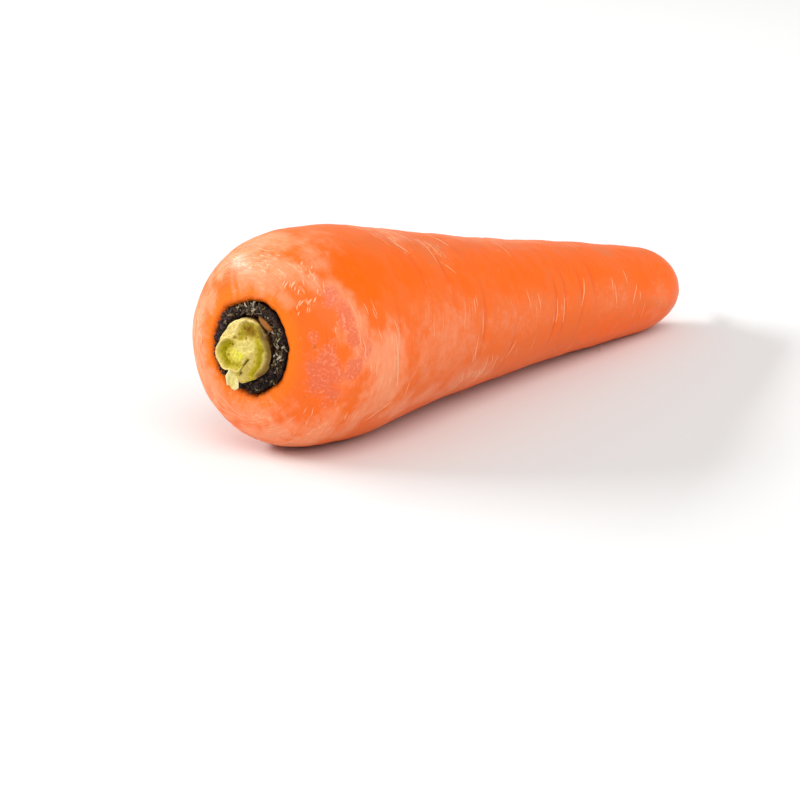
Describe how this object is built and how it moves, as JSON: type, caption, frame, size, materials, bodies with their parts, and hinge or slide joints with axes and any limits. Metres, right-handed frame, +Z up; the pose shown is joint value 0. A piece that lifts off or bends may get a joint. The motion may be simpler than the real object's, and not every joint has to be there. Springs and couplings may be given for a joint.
{
  "type": "carrot",
  "caption": "Fresh orange carrot, trimmed: blunt tapered taproot with rounded shoulders, a dark dried ring in its crown and a short green stub of cut leaf stalks.",
  "frame": {"origin": "middle of the footprint, on the surface that the carrot lies on", "axes": "+X from the crown to the tip, +Z up from the belly"},
  "size_m": [0.1927, 0.0498, 0.05],
  "materials": {
    "carrot_skin": "satin",
    "dried_leaf_bases": "matte",
    "green_stalk": "satin"
  },
  "bodies": {
    "root": {"root": "carrot_skin", "leaf_base_ring": "dried_leaf_bases", "stalk_stub": "green_stalk"}
  },
  "joints": []
}
